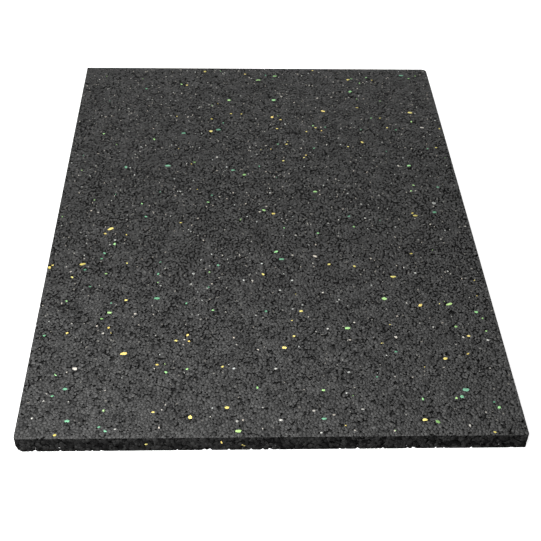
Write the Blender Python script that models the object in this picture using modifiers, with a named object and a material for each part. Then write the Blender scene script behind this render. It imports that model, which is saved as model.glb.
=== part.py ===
"""Anti-slip mat pad: one sheet of bonded rubber granulate, cut with a knife to A4 size.

Metres, +Z up. The origin is the middle of the underside. +X runs across the pad and +Y along it,
so the front edge is at -Y.
"""

import math

import bpy

# The cut sheet.
PAD_WIDTH = 0.210
PAD_LENGTH = 0.297
PAD_THICKNESS = 0.008

# How far each corner of the outline is rounded, seen from above. The cut left three corners nearly
# square, and took more off the back right one.
FRONT_LEFT_RADIUS = 0.0016
FRONT_RIGHT_RADIUS = 0.0010
BACK_LEFT_RADIUS = 0.0008
BACK_RIGHT_RADIUS = 0.0032
CORNER_SEGMENTS = 8

# Rubber crumbs have broken off along every cut edge, which leaves it slightly rounded.
WORN_EDGE_RADIUS = 0.0004
WORN_EDGE_SEGMENTS = 3

# A bevel of the worn edges takes every edge sharper than this, and leaves the corners' own facets.
SHARP_ANGLE = math.radians(40)

# The rubber's mean colour in linear light, and how matt it is.
RUBBER_COLOUR = (0.062, 0.062, 0.060, 1.0)
RUBBER_ROUGHNESS = 0.85


def clear_scene():
    for old in list(bpy.data.objects):
        bpy.data.objects.remove(old)


def rubber_material():
    """Matt black and dark grey rubber crumb, bonded with clear polyurethane."""
    material = bpy.data.materials.new("bonded_rubber_granulate")
    material.use_nodes = True
    shader = material.node_tree.nodes["Principled BSDF"]
    shader.inputs["Base Color"].default_value = RUBBER_COLOUR
    shader.inputs["Roughness"].default_value = RUBBER_ROUGHNESS
    shader.inputs["Metallic"].default_value = 0.0
    return material


def corner_radius(x, y):
    """The radius of the outline's corner in the quarter of the plan that holds (x, y)."""
    if y < 0:
        return FRONT_LEFT_RADIUS if x < 0 else FRONT_RIGHT_RADIUS
    return BACK_LEFT_RADIUS if x < 0 else BACK_RIGHT_RADIUS


def weight_corners(mesh, largest):
    """Gives each upright edge a bevel weight: its corner's radius as a share of the largest one."""
    weights = mesh.attributes.new("bevel_weight_edge", "FLOAT", "EDGE")
    for edge in mesh.edges:
        start, end = (mesh.vertices[i].co for i in edge.vertices)
        if abs(start.z - end.z) > PAD_THICKNESS / 2:
            weights.data[edge.index].value = corner_radius(start.x, start.y) / largest


def granulate_pad(collection, material):
    """The whole pad: a plain sheet with rounded corners and worn edges, alike on both faces."""
    bpy.ops.mesh.primitive_cube_add(size=1.0, location=(0.0, 0.0, PAD_THICKNESS / 2))
    pad = bpy.context.object
    pad.name = "granulate_pad"
    pad.scale = (PAD_WIDTH, PAD_LENGTH, PAD_THICKNESS)
    bpy.ops.object.transform_apply(location=False, rotation=False, scale=True)

    largest = max(FRONT_LEFT_RADIUS, FRONT_RIGHT_RADIUS, BACK_LEFT_RADIUS, BACK_RIGHT_RADIUS)
    weight_corners(pad.data, largest)

    corners = pad.modifiers.new("rounded_corners", "BEVEL")
    corners.limit_method = "WEIGHT"
    corners.width = largest
    corners.segments = CORNER_SEGMENTS

    edges = pad.modifiers.new("worn_edges", "BEVEL")
    edges.limit_method = "ANGLE"
    edges.angle_limit = SHARP_ANGLE
    edges.width = WORN_EDGE_RADIUS
    edges.segments = WORN_EDGE_SEGMENTS
    edges.use_clamp_overlap = False

    pad.data.shade_smooth()
    pad.data.set_sharp_from_angle(angle=SHARP_ANGLE)
    pad.data.materials.append(material)
    for owner in pad.users_collection:
        owner.objects.unlink(pad)
    collection.objects.link(pad)
    return pad


def main():
    clear_scene()
    collection = bpy.data.collections.new("anti_slip_mat_pad")
    bpy.context.scene.collection.children.link(collection)
    granulate_pad(collection, rubber_material())


main()
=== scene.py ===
"""Anti-slip mat pad: the looks of one A4 sheet of bonded black rubber granulate, 8 mm thick.

Metres, +Z up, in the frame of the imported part: the origin is the middle of the underside, +X runs
across the pad and +Y along it, and the front edge is at -Y.
"""
import math

import bmesh
import bpy
import numpy as np
from mathutils import Matrix, Vector
from mathutils.geometry import delaunay_2d_cdt


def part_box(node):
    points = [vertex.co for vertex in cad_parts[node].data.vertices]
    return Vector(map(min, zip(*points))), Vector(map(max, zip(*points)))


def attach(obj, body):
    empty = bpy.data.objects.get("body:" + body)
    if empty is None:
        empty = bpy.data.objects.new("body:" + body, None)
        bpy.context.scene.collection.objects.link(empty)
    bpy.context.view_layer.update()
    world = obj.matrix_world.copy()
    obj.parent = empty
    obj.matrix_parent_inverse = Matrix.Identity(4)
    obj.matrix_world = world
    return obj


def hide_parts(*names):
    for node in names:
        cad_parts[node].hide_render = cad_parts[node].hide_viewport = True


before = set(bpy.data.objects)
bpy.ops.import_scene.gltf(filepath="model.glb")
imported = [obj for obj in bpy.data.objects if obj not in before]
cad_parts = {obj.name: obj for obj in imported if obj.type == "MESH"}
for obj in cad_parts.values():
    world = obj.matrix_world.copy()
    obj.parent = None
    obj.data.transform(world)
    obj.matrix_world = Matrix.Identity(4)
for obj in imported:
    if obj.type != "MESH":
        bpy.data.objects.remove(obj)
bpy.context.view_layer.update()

# The rubber bed: the crumb below the surface, which shows as the floor of every pit.
# Tyre crumb wetted with polyurethane and pressed, so its surface is as lumpy as the crumb is coarse.
# It fills the CAD sheet from within, and the crumbs of all six faces are bonded into it.

MM = 0.001
LOW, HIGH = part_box("granulate_pad")
WIDTH = HIGH.x - LOW.x
LENGTH = HIGH.y - LOW.y
THICKNESS = HIGH.z - LOW.z
FRONT_LEFT_RADIUS = 1.6 * MM
FRONT_RIGHT_RADIUS = 1.0 * MM
BACK_LEFT_RADIUS = 0.8 * MM
BACK_RIGHT_RADIUS = 3.2 * MM
LEAST_RADIUS = 0.1 * MM
NOTHING = 1e-9
WAVE_SPREAD = (0.6, 1.5)

BED_DEPTH = 1.0 * MM
BED_STEP = 2.2 * MM
BED_LEAST_POINTS = 4
BED_LUMPS = 0.22 * MM
BED_LUMP_LIMIT = 2.0
BED_LUMP_SINK = 0.6
BED_WAVELENGTH = 4.0 * MM
BED_WAVES = 24
BED_WELD = 0.01 * MM
# The bed's near-black colours are partly uncut black crumb, partly painted shade on the floor of the
# pits.
BED_COLOURS_WITH_PAINTED_SHADE = ((0.006, 0.006, 0.006, 1.0), (0.028, 0.028, 0.0275, 1.0))
BED_DUST = (2.0 * MM, 0.35, 2.5)
BED_ROUGHNESS = (1.5 * MM, 0.3, 0.6)
BED_RELIEF = (1.2 * MM, 3.0, 0.5, 0.5 * MM)
BED_GLOSS = 0.1

# Crumbs have broken out along the foot, which is notched, and most of all at the front left corner.
NOTCH_HEIGHT = 3.0 * MM
NOTCH_DEPTH = 1.1 * MM
NOTCH_WAVELENGTH = 1.8 * MM
NOTCH_WAVES = 24
NOTCH_START = 0.5
NOTCH_RISE = 0.3
WORN_FOOT_REACH = 3.0 * MM
WORN_FOOT_LOSS = 1.1 * MM
WORN_FOOT_WAY = (0.72, 0.42, 0.55)


def waves(places, wavelength, count, seed):
    """A smooth random field, mostly between -1 and 1: the mean of cosines cos(k . p + phase), times
    sqrt(count), with wave vectors k of random direction and of length 2 pi / wavelength times a
    random number between those of WAVE_SPREAD."""
    rng = np.random.default_rng(seed)
    ways = rng.normal(size=(count, places.shape[-1]))
    ways /= np.linalg.norm(ways, axis=1, keepdims=True)
    ways *= 2 * math.pi / wavelength * rng.uniform(*WAVE_SPREAD, (count, 1))
    phases = rng.uniform(0, 2 * math.pi, count)
    return np.cos(places @ ways.T + phases).sum(axis=-1) / math.sqrt(count)


def within_outline(x, y, inset):
    """Moves places that lie outside the pad's outline, drawn in by inset, onto it.

    In each quarter the outline is a square corner with an arc of its own radius r about a centre
    (cx, cy). What a place has past that centre, on either axis, is shortened to r at most."""
    front = np.where(x < 0, FRONT_LEFT_RADIUS, FRONT_RIGHT_RADIUS)
    back = np.where(x < 0, BACK_LEFT_RADIUS, BACK_RIGHT_RADIUS)
    radius = np.maximum(np.where(y < 0, front, back) - inset, LEAST_RADIUS)
    cx = WIDTH / 2 - inset - radius
    cy = LENGTH / 2 - inset - radius
    past_x = np.maximum(np.abs(x) - cx, 0)
    past_y = np.maximum(np.abs(y) - cy, 0)
    share = np.minimum(1, radius / np.maximum(np.hypot(past_x, past_y), NOTHING))
    return (np.sign(x) * (np.minimum(np.abs(x), cx) + past_x * share),
            np.sign(y) * (np.minimum(np.abs(y), cy) + past_y * share))


def near_outline(x, y, reach):
    """How near the outline a place is: 1 on it, and 0 from the distance reach in from it."""
    in_x, in_y = within_outline(x, y, reach)
    return np.minimum(np.hypot(x - in_x, y - in_y) / reach, 1)


def broken_foot(points):
    """Takes the notches and the crumbled front left corner out of the pad's foot.

    A notch moves points in from the outline to a distance of NOTCH_DEPTH * low * share at least:
    low falls from 1 at the foot to 0 at NOTCH_HEIGHT, and share is what a random field of (x, y)
    has above NOTCH_START, over NOTCH_RISE, and 1 at most. At the corner, points at a distance d
    from it are drawn along WORN_FOOT_WAY by WORN_FOOT_LOSS * (1 - d / WORN_FOOT_REACH)."""
    x, y, z = points.T
    field = waves(points[:, :2], NOTCH_WAVELENGTH, NOTCH_WAVES, seed=9)
    share = np.clip((field - NOTCH_START) / NOTCH_RISE, 0, 1)
    x, y = within_outline(x, y, NOTCH_DEPTH * np.clip(1 - z / NOTCH_HEIGHT, 0, 1) * share)
    points = np.column_stack([x, y, z])
    corner = np.array([LOW.x, LOW.y, LOW.z])
    away = np.linalg.norm(points - corner, axis=1, keepdims=True)
    loss = WORN_FOOT_LOSS * np.maximum(1 - away / WORN_FOOT_REACH, 0)
    return points + loss * np.array(WORN_FOOT_WAY)


def mesh_piece(name, points, faces, places=None, **values):
    """A mesh object from arrays: points (n, 3) and faces (m, k), with one value for each face in
    each named attribute, and for each face corner a place (m, k, 2) on the piece's bake map."""
    mesh = bpy.data.meshes.new(name)
    mesh.vertices.add(len(points))
    mesh.vertices.foreach_set("co", np.asarray(points, np.float32).ravel())
    mesh.loops.add(faces.size)
    mesh.loops.foreach_set("vertex_index", faces.ravel().astype(np.int32))
    mesh.polygons.add(len(faces))
    mesh.polygons.foreach_set("loop_start", np.arange(0, faces.size, faces.shape[1], dtype=np.int32))
    mesh.update(calc_edges=True)
    if places is not None:
        layer = mesh.uv_layers.new(name="OFBake")
        layer.data.foreach_set("uv", np.asarray(places, np.float32).ravel())
    for key, numbers in values.items():
        attribute = mesh.attributes.new(key, "FLOAT", "FACE")
        attribute.data.foreach_set("value", np.asarray(numbers, np.float32))
    piece = bpy.data.objects.new(name, mesh)
    bpy.context.scene.collection.objects.link(piece)
    return piece


def grid_quads(rows, columns, start):
    """The quads of a grid of rows x columns points numbered from start, row by row."""
    first = start + np.arange(rows - 1)[:, None] * columns + np.arange(columns - 1)[None, :]
    return np.stack([first, first + 1, first + columns + 1, first + columns], axis=-1).reshape(-1, 4)


def bed_surface():
    """The six sides of a box as grids of (u, v) from -1 to 1, brought within the outline drawn in
    by BED_DEPTH and moved outward by BED_LUMPS times a smooth random field less BED_LUMP_SINK."""
    half = np.array([WIDTH / 2, LENGTH / 2, THICKNESS / 2]) - BED_DEPTH
    counts = [max(BED_LEAST_POINTS, int(2 * h / BED_STEP)) for h in half]
    sides = []
    quads = []
    start = 0
    for axis in range(3):
        for way in (-1, 1):
            first, second = [(1, 2), (2, 0), (0, 1)][axis][::way]
            u = np.linspace(-1, 1, counts[first])
            v = np.linspace(-1, 1, counts[second])
            side = np.empty((len(v), len(u), 3))
            side[..., axis] = way
            side[..., first] = u[None, :]
            side[..., second] = v[:, None]
            quads.append(grid_quads(len(v), len(u), start))
            sides.append(side.reshape(-1, 3))
            start += len(sides[-1])
    unit = np.concatenate(sides)
    points = unit * half
    points[:, 0], points[:, 1] = within_outline(points[:, 0], points[:, 1], BED_DEPTH)
    outward = np.where(np.abs(unit) == 1, unit, 0)
    lumps = waves(points, BED_WAVELENGTH, BED_WAVES, seed=3)[:, None]
    lumps = np.clip(lumps, -BED_LUMP_LIMIT, BED_LUMP_LIMIT) - BED_LUMP_SINK
    points = points + outward * lumps * BED_LUMPS
    points[:, 2] += THICKNESS / 2
    return broken_foot(points), np.concatenate(quads)


def weld(piece, distance):
    """Joins the points that lie closer together than distance and turns all faces outwards."""
    work = bmesh.new()
    work.from_mesh(piece.data)
    bmesh.ops.remove_doubles(work, verts=work.verts, dist=distance)
    bmesh.ops.recalc_face_normals(work, faces=work.faces)
    work.to_mesh(piece.data)
    work.free()


class Signal:
    """An output socket of a material. Sums of signals and numbers add Math nodes to the material."""

    def __init__(self, tree, socket=None):
        self.tree = tree
        self.socket = socket

    def node(self, kind, settings=None, links=None, output=0):
        """Adds a node: its type, its settings, then the value or signal of each named socket."""
        made = self.tree.nodes.new("ShaderNode" + kind)
        for name, value in (settings or {}).items():
            setattr(made, name, value)
        for name, value in (links or {}).items():
            if isinstance(value, Signal):
                self.tree.links.new(value.socket, made.inputs[name])
            else:
                made.inputs[name].default_value = value
        return Signal(self.tree, made.outputs[output])

    def maths(self, operation, first, second=0.0, clamp=False):
        """A Math node on two signals or numbers."""
        return self.node("Math", {"operation": operation, "use_clamp": clamp}, {0: first, 1: second})

    def mix(self, share, first, second):
        """The colour first where share is 0 and second where it is 1."""
        settings = {"data_type": "RGBA", "clamp_factor": True}
        return self.node("Mix", settings, {0: share, 6: first, 7: second}, output=2)

    def noise(self, size, detail=2.0, rough=0.5):
        """Noise on the object's own coordinates, with lumps about size metres across."""
        place = self.node("TexCoord", output="Object")
        values = {"Vector": place, "Scale": 1 / size, "Detail": detail, "Roughness": rough}
        return self.node("TexNoise", None, values)

    def patches(self, size, level, contrast, detail=2.0, rough=0.5):
        """Patches about size metres across, over and under zero: (noise - level) * contrast."""
        return (self.noise(size, detail, rough) - level) * contrast

    def of_face(self, name):
        """The number that each face has in the named attribute."""
        return self.node("Attribute", {"attribute_name": name}, output="Fac")

    def __add__(self, other):
        return self.maths("ADD", self, other)

    def __radd__(self, other):
        return self.maths("ADD", other, self)

    def __sub__(self, other):
        return self.maths("SUBTRACT", self, other)

    def __rsub__(self, other):
        return self.maths("SUBTRACT", other, self)

    def __mul__(self, other):
        return self.maths("MULTIPLY", self, other)

    def __rmul__(self, other):
        return self.maths("MULTIPLY", other, self)


def finish_material(name, colour, roughness, relief, gloss):
    """A material from a function that makes its colour signal out of the material's first Signal.

    Roughness is (size, spread, least): noise with lumps of that size, times spread, plus least.
    Relief is (size, detail, rough, depth): such noise as a bump, where 1 stands depth metres proud.
    Gloss is the shader's specular level."""
    material = bpy.data.materials.new(name)
    material.use_nodes = True
    tree = material.node_tree
    shader = tree.nodes["Principled BSDF"]
    shader.inputs["Metallic"].default_value = 0.0
    shader.inputs["Specular IOR Level"].default_value = gloss
    start = Signal(tree)
    tree.links.new(colour(start).socket, shader.inputs["Base Color"])
    size, spread, least = roughness
    tree.links.new((start.noise(size) * spread + least).socket, shader.inputs["Roughness"])
    size, detail, rough, depth = relief
    bump = start.node("Bump", None, {"Height": start.noise(size, detail, rough), "Distance": depth})
    tree.links.new(bump.socket, shader.inputs["Normal"])
    return material


def bed_colour(start):
    """Black crumb, darker than the cut crumbs: partly uncut crumb, partly painted shade on the floor
    of the pits. A little greyer where a lump of it catches dust.
    """
    return start.mix(start.patches(*BED_DUST), *BED_COLOURS_WITH_PAINTED_SHADE)


bed = mesh_piece("rubber_bed", *bed_surface())
weld(bed, BED_WELD)
bed.data.materials.append(
    finish_material("pressed_crumb", bed_colour, BED_ROUGHNESS, BED_RELIEF, BED_GLOSS))
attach(bed, "root")
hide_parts("granulate_pad")

# The crumbs of the top face: ground tyre rubber of 1 to 3 mm, cut flush when the block was sliced.
# Each is a flat many-sided cut face with a tip that reaches down into the bed. Where three crumbs
# failed to meet there is a small void, and where the blade tore one out a larger pit.

TOP_PITCH = 1.10 * MM
CENTRE_SCATTER = 0.62
CENTRE_MARGIN = 2
LARGE_SHARE = 0.18
TIP_DEPTH = 1.25 * MM
TIP_SPREAD = (0.85, 1.15)
TIP_INSET = 1.2 * MM
SURFACE_GAP = 0.02 * MM
CUT_DEPTH = 0.05 * MM
CUT_UNEVEN = 0.03 * MM
CUT_TILT = 0.03
SUNK_SHARE = 0.02
SUNK_DEPTH = 0.30 * MM
SUNK_SPREAD = (0.4, 1.0)
TORN_SHARE = 0.015
VOID_SHARES = (0.09, 0.52, 0.22)
VOID_SPACING = 1.25 * MM
VOID_REACHES = (0.25 * MM, 0.6 * MM)
VOID_ROOM = 1.6
VOID_PATCH = 14 * MM
VOID_PATCH_WAVES = 16
VOID_PATCH_SPREAD = 0.4
VOID_PATCH_LIMITS = (0.4, 1.8)
SEAM = 0.012
SEAM_SPREAD = (0.2, 1.8)
WORN_EDGE = 0.4 * MM
WORN_EDGE_DROP = 0.1 * MM
EDGE_INSET = 0.08 * MM
MIDDLE_SHADE = 0.5
SHADE_SPREAD = 0.17
SHADE_PATCH = 20 * MM
SHADE_PATCH_WAVES = 12
SHADE_PATCH_SPREAD = 0.06
# The flanks down in the seams and voids are painted near black: partly uncut crumb under its binder,
# partly painted shade in the pits.
FLANK_PAINTED_SHADE = 0.07
# Crumbs near the outline are made paler: partly crumb pressed by the cut, partly a painted highlight
# along the arris.
PAINTED_EDGE_HIGHLIGHT = 0.14
PAINTED_EDGE_HIGHLIGHT_REACH = 1.6 * MM
CRUMB_COLOURS = ((0.004, 0.004, 0.004, 1.0), (0.080, 0.080, 0.0785, 1.0))
CRUMB_MOTTLE = (0.7 * MM, 0.5, 0.9, 3.0, 0.7)
CRUMB_DUST = (9 * MM, 0.5, 0.3)
CRUMB_ROUGHNESS = (1.4 * MM, 0.4, 0.5)
CRUMB_RELIEF = (0.45 * MM, 3.0, 0.6, 0.06 * MM)
TOP_GLOSS = 0.3
FACE_MAP_FILL = 0.99


def scattered_centres(across, along, pitch, rng):
    """Crumb centres over a rectangle about (0, 0) and CENTRE_MARGIN pitches more all round: one for
    each square of a grid, moved from its place by up to CENTRE_SCATTER * pitch either way. A share
    of LARGE_SHARE is left out, where the crumbs around grow into the gap."""
    margin = CENTRE_MARGIN * pitch
    u = np.arange(-across / 2 - margin, across / 2 + margin, pitch)
    v = np.arange(-along / 2 - margin, along / 2 + margin, pitch)
    grid = np.stack(np.meshgrid(u, v), axis=-1).reshape(-1, 2)
    grid = grid + rng.uniform(-1, 1, grid.shape) * CENTRE_SCATTER * pitch
    return grid[rng.random(len(grid)) > LARGE_SHARE]


def triangulated(centres):
    """The centres as Delaunay's method keeps them, their places in the list given, and the
    triangles between them."""
    found = delaunay_2d_cdt([Vector(c) for c in centres.tolist()], [], [], 0, NOTHING, True)
    source = np.array([given[0] for given in found[3]])
    return np.array(found[0]), source, np.array(found[2])


def inner_radius(corners):
    """The radius of the circle within each triangle (n, 3, 2): twice its area over its perimeter."""
    sides = corners - np.roll(corners, 1, axis=1)
    doubled = sides[:, 0, 0] * sides[:, 1, 1] - sides[:, 0, 1] * sides[:, 1, 0]
    return np.abs(doubled) / np.linalg.norm(sides, axis=2).sum(axis=1)


class Grain:
    """The crumbs of one face of the pad, in that face's own (across, along, outward) frame.

    The centres' Delaunay triangles give the corners: three neighbouring crumbs share the middle of
    their triangle, and each has a corner of its own there, drawn in to its centre c by
    p' = c + (p - c) * (1 - seam). A void is an extra cell in the middle of a triangle, at most one
    to a square of VOID_SPACING and in the roomiest triangle there. Its corners lie at a distance
    between VOID_REACHES from its middle, and at most VOID_ROOM times that triangle's inner radius.
    The share of triangles that could have a void goes through VOID_SHARES from the front, where
    the crumb is packed tighter, over the middle to the back, and varies in patches.
    Torn is 1 for a face that is as rough and as full of voids as the sliced ones, or less."""

    def __init__(self, centres, limit, edge_wear, rng, torn=1.0):
        centres, _, triangles = triangulated(centres)
        voids = centres[triangles].mean(axis=1)
        room = inner_radius(centres[triangles])
        share = torn * np.interp(voids[:, 1], (-LENGTH / 2, 0, LENGTH / 2), VOID_SHARES)
        patches = 1 + VOID_PATCH_SPREAD * waves(voids, VOID_PATCH, VOID_PATCH_WAVES, seed=11)
        share = share * np.clip(patches, *VOID_PATCH_LIMITS)
        able = np.nonzero(rng.random(len(voids)) < share)[0]
        able = able[np.argsort(-room[able])]
        squares = np.floor(voids[able] / VOID_SPACING)
        able = able[np.unique(squares, axis=0, return_index=True)[1]]
        voids, room = voids[able], room[able]
        known = len(centres)
        centres, source, triangles = triangulated(np.concatenate([centres, voids]))
        self.void = source >= known
        self.count = len(centres)
        self.torn = torn
        self.corner_crumb = triangles.ravel()
        middle = centres[triangles].mean(axis=1)
        nearest = triangles[np.arange(len(triangles)), np.argmax(self.void[triangles], axis=1)]
        reach = rng.uniform(*VOID_REACHES, self.count)
        most = VOID_ROOM * room[source[self.void] - known]
        reach[self.void] = np.minimum(reach[self.void], most)
        arm = middle - centres[nearest]
        scale = np.where(self.void[nearest], reach[nearest] / np.linalg.norm(arm, axis=1), 1)
        middle = centres[nearest] + arm * scale[:, None]
        self.link_sides(triangles)
        self.centres = limit(centres, 0)
        self.tips = limit(centres, TIP_INSET)
        self.build(limit(np.repeat(middle, 3, axis=0), 0), edge_wear, rng)

    def link_sides(self, triangles):
        """Finds each crumb's sides. The triangles left and right of the way from a centre to its
        neighbour hold the two ends of the side between them: its second and its first corner."""
        ahead = np.roll(triangles, -1, axis=1).ravel()
        here = self.corner_crumb
        way = here * self.count + ahead
        order = np.argsort(way)
        back = ahead * self.count + here
        place = np.minimum(np.searchsorted(way[order], back), len(way) - 1)
        twin = order[place]
        paired = way[twin] == back
        self.second = np.nonzero(paired)[0]
        self.first = (twin - twin % 3 + (twin % 3 + 1) % 3)[paired]
        self.side_crumb = here[self.second]

    def build(self, corners, edge_wear, rng):
        """Works out the points: every corner, then every crumb's middle, then every tip."""
        n = self.count
        own = self.corner_crumb
        arm = corners - self.centres[own]
        swept = arm[self.first, 0] * arm[self.second, 1] - arm[self.first, 1] * arm[self.second, 0]
        self.area = 0.5 * np.bincount(self.side_crumb, swept, minlength=n)
        seam = SEAM * rng.uniform(*SEAM_SPREAD, n)
        drawn = arm * (1 - seam[own])[:, None]
        sunk = rng.random(n) < SUNK_SHARE * self.torn
        sunk = sunk * rng.uniform(*SUNK_SPREAD, n) * SUNK_DEPTH
        uneven = CUT_UNEVEN * self.torn
        depth = CUT_DEPTH + uneven * rng.random(n) + sunk
        tilt = rng.normal(0, CUT_TILT * self.torn, (n, 2))
        height = (drawn * tilt[own]).sum(axis=1) - depth[own] - edge_wear(corners)
        height = np.minimum(height + uneven * (rng.random(len(own)) - 0.5), -SURFACE_GAP)
        tip_depth = -TIP_DEPTH * rng.uniform(*TIP_SPREAD, n)
        top_depth = -depth - edge_wear(self.centres)
        self.points = np.concatenate([
            np.column_stack([self.centres[own] + drawn, height]),
            np.column_stack([self.centres, top_depth]),
            np.column_stack([self.tips, tip_depth])])
        cut = np.column_stack([len(own) + self.side_crumb, self.first, self.second])
        flank = np.column_stack([self.second, self.first, len(own) + n + self.side_crumb])
        self.faces = np.concatenate([cut, flank])
        self.face_crumb = np.concatenate([self.side_crumb, self.side_crumb])
        self.side_middle = (corners[self.first] + corners[self.second]) / 2
        whole = rng.random(n) > TORN_SHARE * self.torn
        self.kept = (self.area > 0) & whole & ~self.void

    def piece(self, name, place, on_map, shade, chosen, colours, gloss):
        """The kept crumbs that are chosen, as one piece, where place puts their points. on_map
        gives their places on the bake map, where a flank fills what its seam leaves free: its tip
        is the middle of the side that the two crumbs would share without the seam."""
        shown = (self.kept & chosen)[self.face_crumb]
        faces = self.faces[shown]
        used = np.unique(faces)
        number = np.zeros(len(self.points), int)
        number[used] = np.arange(len(used))
        crumb = self.face_crumb[shown]
        flank = np.repeat([False, True], len(self.side_crumb))[shown]
        corners = self.points[:, :2][faces]
        corners[flank, 2] = self.side_middle[shown[len(self.side_crumb):]]
        # Flanks take the near-black flank value: painted shade in the pits, partly the binder-coated
        # uncut crumb.
        piece = mesh_piece(name, place(self.points[used]), number[faces],
                           on_map(corners, self.centres[crumb]),
                           crumb_shade=np.where(flank, FLANK_PAINTED_SHADE, shade[crumb]))
        piece.data.materials.append(crumb_material(name + "_rubber", colours, gloss))
        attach(piece, "root")
        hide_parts("granulate_pad")
        return piece


def crumb_material(name, colours, gloss):
    """Cut rubber: each crumb has its own shade, mottled by the blade and by dust in the grain."""

    def colour(start):
        shade = start.of_face("crumb_shade")
        return start.mix(shade + start.patches(*CRUMB_MOTTLE) + start.patches(*CRUMB_DUST), *colours)

    return finish_material(name, colour, CRUMB_ROUGHNESS, CRUMB_RELIEF, gloss)


def within_face(way):
    """The limit of a broad face: nothing past the outline drawn in by EDGE_INSET and inset. The
    outline is mirrored for the underside."""
    def limit(places, inset):
        x, y = within_outline(way * places[:, 0], places[:, 1], EDGE_INSET + inset)
        return np.column_stack([way * x, y])
    return limit


def broad_face_wear(way):
    """What wear took near the outline: WORN_EDGE_DROP at the very edge, falling with the square of
    the distance in from it to nothing at WORN_EDGE."""
    def wear(places):
        return WORN_EDGE_DROP * near_outline(way * places[:, 0], places[:, 1], WORN_EDGE) ** 2
    return wear


def on_broad_face(way):
    """Stands a face's points on the top (way 1) or the underside (way -1, turned about Y)."""
    def place(points):
        base = HIGH.z if way > 0 else LOW.z
        return broken_foot(points * np.array([way, 1, way]) + np.array([0, 0, base]))
    return place


def broad_face_map(corners, middles):
    """The bake map of a broad face: its rectangle over FACE_MAP_FILL of the map each way."""
    return corners / np.array([WIDTH, LENGTH]) * FACE_MAP_FILL + 0.5


def broad_face(names, pitch, way, seed):
    """The crumbs of one broad face, darkest first, in as many pieces as names, each with the same
    number of crumbs."""
    rng = np.random.default_rng(seed)
    centres = scattered_centres(WIDTH, LENGTH, pitch, rng)
    grain = Grain(centres, within_face(way), broad_face_wear(way), rng)
    shade = MIDDLE_SHADE + SHADE_SPREAD * rng.normal(size=grain.count)
    shade += SHADE_PATCH_SPREAD * waves(grain.centres, SHADE_PATCH, SHADE_PATCH_WAVES, seed + 2)
    # Paler crumbs along the outline: partly crumb pressed by the cut, partly a painted highlight
    # along the arris.
    shade += PAINTED_EDGE_HIGHLIGHT * near_outline(way * grain.centres[:, 0], grain.centres[:, 1], PAINTED_EDGE_HIGHLIGHT_REACH)
    rank = np.argsort(np.argsort(shade)) / grain.count
    for number, name in enumerate(names):
        chosen = (rank >= number / len(names)) & (rank < (number + 1) / len(names))
        grain.piece(name, on_broad_face(way), broad_face_map, shade, chosen, CRUMB_COLOURS, TOP_GLOSS)


broad_face(("top_black_crumbs", "top_dark_crumbs", "top_grey_crumbs"), TOP_PITCH, 1, seed=20)

# The crumbs of the underside: the other sliced face, of the same rubber, which lies on the floor.
# It is the top face over again with crumbs of its own, which are drawn coarser.

UNDERSIDE_PITCH = 1.6 * MM

broad_face(("underside_black_crumbs", "underside_grey_crumbs"), UNDERSIDE_PITCH, -1, seed=40)

# The crumbs of the cut edges: what a knife or saw showed when the pad was cut from its sheet.
# They are darker than the two broad faces, partly as less abraded cut rubber and partly as painted
# shade, since the upright sides get less light than the top. They are more matt too, with fewer
# voids, and some have broken out along the foot, which leaves it notched.

EDGE_PITCH = 1.30 * MM
EDGE_TORN = 0.4
EDGE_SPREAD = 0.36
EDGE_TOP_GAP = 0.12 * MM
EDGE_FOOT_GAP = 0.03 * MM
# The cut edges' colours are darker than the crumbs': partly less abraded rubber, partly painted shade
# of the upright sides, which get less light than the top.
EDGE_COLOURS_WITH_PAINTED_SHADE = ((0.002, 0.002, 0.002, 1.0), (0.021, 0.021, 0.0206, 1.0))
EDGE_GLOSS = 0.02
ARC_POINTS = 9
STRIPS = 4
STRIP_MARGIN = 0.02
STRIP_FILL = 0.9


def outline_path():
    """The outline as points (x, y), the angle of its outward side and the distance walked, going
    round anticlockwise from above: an arc of ARC_POINTS at each corner, straight runs between."""
    corners = [(-1, -1, FRONT_LEFT_RADIUS), (1, -1, FRONT_RIGHT_RADIUS),
               (1, 1, BACK_RIGHT_RADIUS), (-1, 1, BACK_LEFT_RADIUS)]
    x, y, turn = [], [], []
    for quarter, (side_x, side_y, radius) in enumerate(corners):
        angle = math.pi * (quarter / 2 - 1) + np.linspace(0, math.pi / 2, ARC_POINTS)
        x.append(side_x * (WIDTH / 2 - radius) + radius * np.cos(angle))
        y.append(side_y * (LENGTH / 2 - radius) + radius * np.sin(angle))
        turn.append(angle)
    x, y, turn = (np.concatenate(part) for part in (x, y, turn))
    x, y, turn = np.append(x, x[0]), np.append(y, y[0]), np.append(turn, turn[0] + 2 * math.pi)
    walked = np.concatenate([[0], np.cumsum(np.hypot(np.diff(x), np.diff(y)))])
    return x, y, turn, walked


OUTLINE = outline_path()
AROUND = OUTLINE[3][-1]


def on_cut_edge(points):
    """Turns (distance walked from the outline's middle, height above the pad's middle, distance
    outward) into (x, y, z)."""
    x, y, turn, walked = OUTLINE
    walk = np.mod(points[:, 0] + AROUND / 2, AROUND)
    angle = np.interp(walk, walked, turn)
    return broken_foot(np.column_stack([np.interp(walk, walked, x) + points[:, 2] * np.cos(angle),
                                        np.interp(walk, walked, y) + points[:, 2] * np.sin(angle),
                                        points[:, 1] + THICKNESS / 2]))


def within_edge(places, inset):
    """The limit of the cut edges: under the top face and above the foot, drawn in by inset."""
    height = np.clip(places[:, 1], EDGE_FOOT_GAP + inset - THICKNESS / 2,
                     THICKNESS / 2 - EDGE_TOP_GAP - inset)
    return np.column_stack([places[:, 0], height])


def edge_wear(places):
    """Wear on the cut edges near the top face and the foot, as on the broad faces."""
    reach = THICKNESS / 2 - np.abs(places[:, 1])
    return WORN_EDGE_DROP * np.maximum(1 - reach / WORN_EDGE, 0) ** 2


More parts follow.
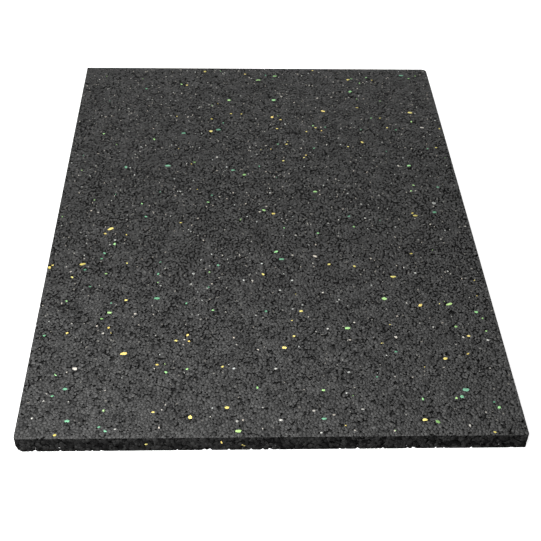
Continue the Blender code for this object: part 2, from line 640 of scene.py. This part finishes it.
def edge_map(corners, middles):
    """The bake map of the cut edges: STRIPS strips one above another, each with a like part of the
    way round. A crumb lies whole in the strip that holds its middle."""
    strip = np.floor((middles[:, 0] / AROUND + 0.5) * STRIPS).clip(0, STRIPS - 1)[:, None]
    along = (corners[..., 0] / AROUND + 0.5) * STRIPS - strip
    along = along * (1 - 2 * STRIP_MARGIN) + STRIP_MARGIN
    up = (strip + 0.5 + corners[..., 1] / THICKNESS * STRIP_FILL) / STRIPS
    return np.stack([along, up], axis=-1)


def cut_edges(seed):
    """The crumbs of all four cut edges, as one strip as long as the outline, whose crumbs past one
    end are those of the other end again."""
    rng = np.random.default_rng(seed)
    pitch = AROUND / round(AROUND / EDGE_PITCH)
    margins = 2 * CENTRE_MARGIN * pitch
    centres = scattered_centres(AROUND - margins, THICKNESS, pitch, rng)
    before = centres[centres[:, 0] > AROUND / 2 - margins] - np.array([AROUND, 0])
    after = centres[centres[:, 0] < margins - AROUND / 2] + np.array([AROUND, 0])
    grain = Grain(np.concatenate([before, centres, after]), within_edge, edge_wear, rng, EDGE_TORN)
    grain.kept &= np.abs(grain.centres[:, 0]) < AROUND / 2
    shade = MIDDLE_SHADE + EDGE_SPREAD * rng.normal(size=grain.count)
    grain.piece("cut_edge_crumbs", on_cut_edge, edge_map, shade, True, EDGE_COLOURS_WITH_PAINTED_SHADE, EDGE_GLOSS)


cut_edges(seed=60)

# The camera: above the front edge and looking down the pad, as in the photograph. The pad's four
# edges in the picture give its place, its angles and its lens. It comes before the coloured
# granules, because the ones that stand out are placed by the photograph.

CAMERA_PLACE = (-0.0180, -0.4276, 0.3356)
CAMERA_PITCH = math.radians(40.50)
CAMERA_HEADING = math.radians(2.98)
CAMERA_ROLL = math.radians(1.82)
CAMERA_LENS = 69.81
CAMERA_SENSOR = 36.0
CAMERA_NEAREST = 0.01
PICTURE_SIZE = 541

lens = bpy.data.cameras.new("camera")
lens.lens = CAMERA_LENS
lens.sensor_width = CAMERA_SENSOR
lens.clip_start = CAMERA_NEAREST
camera = bpy.data.objects.new("camera", lens)
aim = Matrix.Rotation(-CAMERA_HEADING, 4, "Z")
aim = aim @ Matrix.Rotation(math.pi / 2 - CAMERA_PITCH, 4, "X")
aim = aim @ Matrix.Rotation(CAMERA_ROLL, 4, "Z")
camera.matrix_world = Matrix.Translation(CAMERA_PLACE) @ aim
bpy.context.scene.collection.objects.link(camera)
bpy.context.scene.camera = camera


def struck(places, axis, level):
    """Where the lines of sight through places (right, down) of the picture, in its pixels, meet the
    plane on which the coordinate axis has the value level: c + way * (level - c) / way, with c the
    camera's place and the last quotient taken on that axis."""
    step = CAMERA_SENSOR / CAMERA_LENS / PICTURE_SIZE
    right, down = (np.asarray(places, float) - PICTURE_SIZE / 2).T * step
    way = np.column_stack([right, -down, -np.ones(len(right))]) @ np.array(aim.to_3x3()).T
    start = np.array(CAMERA_PLACE)
    return start + way * ((level - start[axis]) / way[:, axis])[:, None]


# The coloured granules: yellow, lime, sea green and pale rubber, cut flush with the crumb. Those that
# stand out lie where the photograph has them, read off it as (right, down, turn): the middle in
# pixels and the turn on the pad in degrees. The rest, most of them small, are strewn at random.

GRANULE_SIDES = 8
GRANULE_JITTER = 0.25
GRANULE_REACH = (0.8, 1.15)
GRANULE_RIM = 0.86
GRANULE_RIM_DROP = 0.07 * MM
GRANULE_UNEVEN = 0.02 * MM
GRANULE_DEPTH = 1.1 * MM
GRANULE_INSET = 2 * MM
SEEN_SPREAD = 0.14
SMALLEST = 0.7 * MM
WIDEST = 0.9
SMALL_SHARE = 0.6
CLEARANCE = 2.0 * MM

SOIL = (0.05, 0.05, 0.045, 1.0)
SOILED_MOST = 0.8
SOILING = (0.8 * MM, 0.62, 4.0, 3.0)
FADING = (0.5 * MM, 0.5, 0.8)
GRANULE_ROUGHNESS = (0.7 * MM, 0.3, 0.45)
GRANULE_RELIEF = (0.4 * MM, 3.0, 0.5, 0.08 * MM)
GRANULE_GLOSS = 0.3

# The parts of the bake map for the top, the underside and the edges, each as (corner, size), and
# how wide and long the face is that fills it.
TOP_MAP = ((0.0, 0.1), (0.5, 0.9))
UNDERSIDE_MAP = ((0.5, 0.1), (0.5, 0.9))
EDGE_MAP = ((0.0, 0.0), (1.0, 0.1))
MAP_PART_FILL = 0.98
FACE_SPREAD = np.array([WIDTH, LENGTH])
EDGE_STRIP_SPREAD = np.array([AROUND, THICKNESS])

LARGE = (3.3 * MM, 1.8 * MM)
MIDDLING = (2.4 * MM, 1.6 * MM)
SMALL = (1.55 * MM, 1.1 * MM)
TINY = (1.3 * MM, 0.9 * MM)
SLIVER = (1.7 * MM, 0.6 * MM)

YELLOW_SEEN = {
    LARGE: [(111, 228.5, 30), (123.5, 353.5, 10), (393.5, 276.5, 0), (415.5, 215.5, 0),
            (410, 112.5, -15), (82.5, 264, 20)],
    MIDDLING: [(425, 419.5, 0), (227, 407.5, 0), (301, 311, 10), (284.5, 347.5, -20),
               (420.5, 305, 30), (190, 417, 90), (445.5, 358.5, 15), (272, 117, 60),
               (205, 71.5, 30), (211, 131, -10), (49.5, 267.5, 90), (273.5, 213.5, 0),
               (362, 142, -40), (323, 111, -30), (348, 79.5, 10)],
    SMALL: [(126, 300, 0), (108.5, 327.5, 50), (187.5, 335, 60), (294, 336, 0), (263, 274, -40),
            (354.5, 266, -30), (329, 264, 0), (181, 222.5, 0), (105.5, 233.5, -10),
            (412.5, 213, 30), (277, 128.5, 0), (357, 107.5, 0), (436, 147.5, 0),
            (222.5, 366.5, 50), (286.5, 144, 0), (157, 364.5, 0), (495, 432, -10),
            (54.5, 435, 40), (231, 113.5, 0), (187, 85, 0), (245, 74, -40), (72, 277, -30),
            (411, 253.5, 0), (176, 340.5, 0)],
    TINY: [(312.5, 70.5, 0), (380, 118, 0), (321.5, 130.5, 60), (387, 127.5, 0), (280.5, 119.5, 0),
           (304, 157.5, 30), (283.5, 160.5, 0), (348, 146.5, 0), (439.5, 128.5, 90),
           (306, 155, 0), (52.5, 265, 0), (67, 333, 40), (189, 341, 0), (127, 263, 90),
           (153, 412, 0)]}
LIME_SEEN = {
    LARGE: [(347.5, 328, 0), (384.5, 298.5, -15), (449.5, 304, 25), (258, 80, 10),
            (275, 76, 5), (273.5, 100, 0)],
    MIDDLING: [(238.5, 431, 0), (438, 421.5, -35), (109.5, 312.5, -10), (229, 100, 0),
               (350, 91.5, 35), (409, 165.5, 20), (244.5, 174.5, 0), (315, 191.5, 10),
               (276, 251.5, 30), (264, 210, -30)],
    SMALL: [(208, 202, -10), (354, 226.5, -60), (166, 372, -40), (187, 369, 50),
            (257.5, 387.5, 90), (423, 399, 90), (456.5, 398, -35), (213, 310, -10),
            (154, 139, -15), (104, 133.5, 0), (194.5, 162, 0), (413.5, 185, -30),
            (142, 203.5, -50), (456, 326.5, 0), (106, 273.5, 10), (366, 77.5, 0),
            (323.5, 390, 0), (408.5, 78.5, 0), (318, 233, 0), (101.5, 318.5, 0)],
    TINY: [(359.5, 83, 90), (415, 76, 0), (380, 101, 0), (371, 118, 0), (313, 125.5, 0),
           (66.5, 301, -30), (103.5, 410.5, 90)]}
SEA_SEEN = {
    LARGE: [(157, 298, 0), (466, 389.5, -10), (401, 75.5, 0), (218.5, 129.5, -10),
            (168, 165.5, 0)],
    MIDDLING: [(126, 167, 90), (233, 170, 0), (281.5, 259, 0), (65, 389, 0), (434.5, 212, 0),
               (183.5, 133, 0), (324, 418.5, 0), (67, 421, 0), (462, 396.5, -70)],
    SMALL: [(105, 431, 0), (396, 351.5, 0), (438, 187, 0), (314, 148, 0), (146.5, 88.5, 0),
            (104.5, 253, -40), (212, 195, 10), (146, 216.5, -20), (218, 265, -45),
            (85, 269.5, 0), (44, 335.5, 30), (266, 311, 60), (99, 427, 10)],
    TINY: [(52, 396, 20), (325, 127, 0), (396, 129.5, 0), (361, 129.5, 0), (278, 144, 0),
           (101.5, 258.5, 0), (160.5, 262, 20), (90, 286.5, 0), (111, 303, 0), (186.5, 303, 60)]}
PALE_SEEN = {
    MIDDLING: [(315, 256, -30), (75, 368.5, -20), (422, 127.5, -15), (434, 203, -20)],
    SMALL: [(349, 372, 0), (281, 420, 0), (470, 425.5, 90), (237, 421, 90), (488, 340, 0),
            (396, 337, -30), (193.5, 273.5, 0), (217, 157, 90), (361, 204, 90),
            (292.5, 255, -20), (276, 368.5, 0), (314, 410.5, 0), (363, 409, 0)],
    TINY: [(115, 429, 0), (159, 427.5, 90), (243, 420, 60), (334, 414.5, 0), (321.5, 432.5, 30)]}
FRONT_EDGE_SEEN = {TINY: [(146, 444.5, 15)], SLIVER: [(221.5, 442.5, 110), (243.5, 445.5, -35)]}

STANDING = np.concatenate([
    struck([place[:2] for group in places.values() for place in group], 2, HIGH.z)[:, :2]
    for places in (YELLOW_SEEN, LIME_SEEN, SEA_SEEN, PALE_SEEN)])
granule_rng = np.random.default_rng(80)


def apart(rows):
    """The strewn granules whose middles are further than CLEARANCE from those of all that stand out
    on the top face."""
    away = np.linalg.norm(rows[:, None, :2] - STANDING[None], axis=2).min(axis=1)
    return rows[away > CLEARANCE]


def strewn(count, across, along, longest, slimmest, rng, drift=1.0):
    """Granules at random: (across, along, long, wide, turn), the long side from SMALLEST to longest,
    most of them near the lower end, and the wide side from slimmest to WIDEST times it. A drift
    under 1 thins them out towards the front."""
    long = SMALLEST + (longest - SMALLEST) * rng.random(count) ** 2
    return np.column_stack([rng.uniform(-across / 2, across / 2, count),
                            (rng.random(count) ** drift - 0.5) * along, long,
                            long * rng.uniform(slimmest, WIDEST, count), rng.uniform(0, 180, count)])


def seen(places, rng, axis=2, level=HIGH.z):
    """Granules that stand out: (across, along, long, wide, turn) on the top face, or on the plane
    where axis is level. Each of their two sizes is up to a share of SEEN_SPREAD more or less."""
    rows = np.array([place + size for size, group in places.items() for place in group])
    middles = np.delete(struck(rows[:, :2], axis, level), axis, axis=1)
    sizes = rows[:, 3:] * rng.uniform(1 - SEEN_SPREAD, 1 + SEEN_SPREAD, (len(rows), 2))
    return np.column_stack([middles, sizes, rows[:, 2]])


def granule_points(rows, rng):
    """The points (n, 2 * sides + 1, 3) of granules in their face's (across, along, outward) frame.

    Corner k is at the angle 2 pi (k + jitter) / sides on an ellipse of the granule's two sizes,
    times a random number between those of GRANULE_REACH. The cut face is this ring shrunk to
    GRANULE_RIM, the rim is the ring itself GRANULE_RIM_DROP below, and the last point is the tip,
    GRANULE_DEPTH down."""
    count = len(rows)
    jitter = rng.uniform(-GRANULE_JITTER, GRANULE_JITTER, (count, GRANULE_SIDES))
    angle = (np.arange(GRANULE_SIDES) + jitter) * 2 * math.pi / GRANULE_SIDES
    reach = rng.uniform(*GRANULE_REACH, (count, GRANULE_SIDES))
    long = rows[:, 2:3] / 2 * np.cos(angle) * reach
    wide = rows[:, 3:4] / 2 * np.sin(angle) * reach
    turn = np.radians(rows[:, 4:5])
    ring = np.stack([long * np.cos(turn) - wide * np.sin(turn),
                     long * np.sin(turn) + wide * np.cos(turn)], axis=-1)
    points = np.empty((count, 2 * GRANULE_SIDES + 1, 3))
    points[:, :GRANULE_SIDES, :2] = rows[:, None, :2] + ring * GRANULE_RIM
    points[:, GRANULE_SIDES:-1, :2] = rows[:, None, :2] + ring
    points[:, -1, :2] = rows[:, :2]
    points[:, :GRANULE_SIDES, 2] = -GRANULE_UNEVEN * rng.random((count, GRANULE_SIDES)) - SURFACE_GAP
    points[:, GRANULE_SIDES:-1, 2] = -SURFACE_GAP - GRANULE_RIM_DROP
    points[:, -1, 2] = -GRANULE_DEPTH
    return points


def granule_faces():
    """One granule's triangles: a fan over its cut face, two for each side of its rim, and one from
    each side down to its tip."""
    n = GRANULE_SIDES
    faces = [(0, k, k + 1) for k in range(1, n - 1)]
    for k in range(n):
        after = (k + 1) % n
        faces += [(k, n + k, n + after), (k, n + after, after), (n + after, n + k, 2 * n)]
    return np.array(faces)


def granule_piece(name, colours, groups, power):
    """One piece of the granules in groups of (points in the face's frame, how that face is placed,
    its part of the bake map, the face's width and length, the least shade of each granule). Their
    shade is least + (1 - least) * share ** power, with a random share, so that a power over 1 makes
    most of them dark. The draws are seeded by the length of the piece's name."""
    shape = granule_faces()
    points, places, shades, tints, faces = [], [], [], [], []
    start = 0
    rng = np.random.default_rng(len(name))
    for local, place, (corner, size), spread, least in groups:
        count, each = local.shape[:2]
        numbers = (shape[None] + each * np.arange(count)[:, None, None]).reshape(-1, 3)
        local = local.reshape(-1, 3)
        flat = (local[:, :2] / spread * MAP_PART_FILL + 0.5) * size + corner
        places.append(flat[numbers])
        faces.append(numbers + start)
        points.append(place(local))
        shade = least + (1 - least) * rng.random(count) ** power
        shades.append(np.repeat(shade, len(shape)))
        tints.append(np.repeat(rng.random(count), len(shape)))
        start += count * each
    piece = mesh_piece(name, np.concatenate(points), np.concatenate(faces),
                       np.concatenate(places), crumb_shade=np.concatenate(shades),
                       crumb_tint=np.concatenate(tints))
    piece.data.materials.append(granule_material(name + "_rubber", colours))
    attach(piece, "root")
    return piece


def granule_material(name, colours):
    """Coloured rubber, from its deep, warm and cool colours: each granule has its own tint between
    the last two, is more or less faded from the deep one, and is soiled by black dust in patches."""
    deep, warm, cool = colours

    def colour(start):
        faded = start.of_face("crumb_shade") + start.patches(*FADING)
        clean = start.mix(faded, deep, start.mix(start.of_face("crumb_tint"), warm, cool))
        soiled = start.maths("MULTIPLY", start.patches(*SOILING), SOILED_MOST, clamp=True)
        return start.mix(soiled, clean, SOIL)

    return finish_material(name, colour, GRANULE_ROUGHNESS, GRANULE_RELIEF, GRANULE_GLOSS)


def on_front_edge(places):
    """The granules that stand out on the front edge, as (distance walked from the outline's middle,
    height above the pad's middle, long, wide, turn). The front edge is the straight run between the
    last point of the outline's first arc and the first one of its second."""
    rows = seen(places, granule_rng, axis=1, level=LOW.y)
    x, _, _, walked = OUTLINE
    ends = slice(ARC_POINTS - 1, ARC_POINTS + 1)
    rows[:, 0] = np.interp(rows[:, 0], x[ends], walked[ends]) - AROUND / 2
    rows[:, 1] -= THICKNESS / 2
    return rows


def granule_groups(placed, small_top, small_edge, longest, slimmest=0.5, front=None, drift=1.0,
                   least=0.0):
    """The groups of one kind: the placed ones and small ones apart on top, half as many of all sizes
    on the underside, and a few on the cut edges, where the front one has only the placed ones.
    longest is for the underside, and the small ones grow to SMALL_SHARE times it. least is the
    least shade of the placed ones on top."""
    across, along, up = WIDTH - GRANULE_INSET, LENGTH - GRANULE_INSET, THICKNESS - GRANULE_INSET
    small = strewn(small_top, across, along, longest * SMALL_SHARE, slimmest, granule_rng, drift)
    standing = seen(placed, granule_rng)
    top = np.concatenate([standing, apart(small)])
    shades = np.where(np.arange(len(top)) < len(standing), least, 0.0)
    low = strewn(len(top) // 2, across, along, longest, slimmest, granule_rng)
    edge = strewn(small_edge, AROUND - WIDTH, up, longest * SMALL_SHARE, slimmest, granule_rng)
    edge[:, 0] += WIDTH / 2
    if front:
        edge = np.concatenate([edge, on_front_edge(front)])
    return [
        (granule_points(top, granule_rng), on_broad_face(1), TOP_MAP, FACE_SPREAD, shades),
        (granule_points(low, granule_rng), on_broad_face(-1), UNDERSIDE_MAP, FACE_SPREAD, 0.0),
        (granule_points(edge, granule_rng), on_cut_edge, EDGE_MAP, EDGE_STRIP_SPREAD, 0.0)]


YELLOW_COLOURS = ((0.40, 0.34, 0.07, 1.0), (0.83, 0.60, 0.16, 1.0), (0.76, 0.70, 0.23, 1.0))
LIME_COLOURS = ((0.15, 0.30, 0.09, 1.0), (0.42, 0.62, 0.22, 1.0), (0.27, 0.64, 0.27, 1.0))
SEA_COLOURS = ((0.06, 0.20, 0.12, 1.0), (0.14, 0.39, 0.19, 1.0), (0.16, 0.37, 0.25, 1.0))
PALE_COLOURS = ((0.10, 0.095, 0.085, 1.0), (0.54, 0.48, 0.40, 1.0), (0.53, 0.56, 0.54, 1.0))

yellow_groups = granule_groups(YELLOW_SEEN, small_top=26, small_edge=7, longest=3.2 * MM,
                               front=FRONT_EDGE_SEEN)
granule_piece("yellow_granules", YELLOW_COLOURS, yellow_groups, power=0.7)

lime_groups = granule_groups(LIME_SEEN, small_top=30, small_edge=4, longest=3.2 * MM)
granule_piece("lime_granules", LIME_COLOURS, lime_groups, power=0.6)

sea_groups = granule_groups(SEA_SEEN, small_top=20, small_edge=3, longest=3.0 * MM)
granule_piece("sea_green_granules", SEA_COLOURS, sea_groups, power=0.7)

# The pale granules thin out towards the front: the extra ones towards the middle and back are partly
# painted glints, standing in for crumbs that catch the sheen there.
pale_groups = granule_groups(PALE_SEEN, small_top=1800, small_edge=8, longest=2.2 * MM,
                             slimmest=0.45, drift=0.65, least=0.45)
granule_piece("pale_granules", PALE_COLOURS, pale_groups, power=2.2)

# The floor: a plain pale light table under the pad, which isn't part of it. It glows a little, so
# that the pad casts hardly any shadow on it.

FLOOR_SIZE = 60.0
FLOOR_COLOURS = ((0.60, 0.60, 0.60, 1.0), (0.62, 0.62, 0.62, 1.0))
FLOOR_PATCH = 0.4
FLOOR_ROUGHNESS = (0.2, 0.1, 0.85)
FLOOR_RELIEF = (0.01, 2.0, 0.5, 0.02 * MM)
FLOOR_GLOSS = 0.1
FLOOR_GLOW = 0.75
WHITE = (1.0, 1.0, 1.0, 1.0)


def floor_colour(start):
    """An even pale grey that hardly varies."""
    return start.mix(start.noise(FLOOR_PATCH), *FLOOR_COLOURS)


floor_points = np.array([(-1, -1, 0), (1, -1, 0), (1, 1, 0), (-1, 1, 0)]) * FLOOR_SIZE / 2
floor = mesh_piece("studio_floor", floor_points, np.array([(0, 1, 2, 3)]))
pale_floor = finish_material("pale_floor", floor_colour, FLOOR_ROUGHNESS, FLOOR_RELIEF, FLOOR_GLOSS)
floor_shader = pale_floor.node_tree.nodes["Principled BSDF"]
floor_shader.inputs["Emission Color"].default_value = WHITE
floor_shader.inputs["Emission Strength"].default_value = FLOOR_GLOW
floor.data.materials.append(pale_floor)

# The light: a wide soft box behind the pad, whose sheen lies over all of the top, a small low one
# in front on the left, which makes that corner the brightest, and a faint even fill. A soft box is
# (place, size, power).

FAR_BOX = ((0.0, 0.74, 0.60), 1.0, 9.6)
NEAR_BOX = ((-0.16, -0.33, 0.345), 0.3, 4.3)
FILL_STRENGTH = 0.10


def soft_box(name, place, size, power):
    """A round soft box, size metres across, that shines straight down from its place."""
    lamp = bpy.data.lights.new(name, "AREA")
    lamp.shape = "DISK"
    lamp.size = size
    lamp.energy = power
    box = bpy.data.objects.new(name, lamp)
    box.location = place
    bpy.context.scene.collection.objects.link(box)


soft_box("far_soft_box", *FAR_BOX)
soft_box("near_soft_box", *NEAR_BOX)

world = bpy.data.worlds.new("studio")
world.use_nodes = True
fill = world.node_tree.nodes["Background"]
fill.inputs["Color"].default_value = WHITE
fill.inputs["Strength"].default_value = FILL_STRENGTH
bpy.context.scene.world = world
bpy.context.scene.view_settings.view_transform = "Standard"
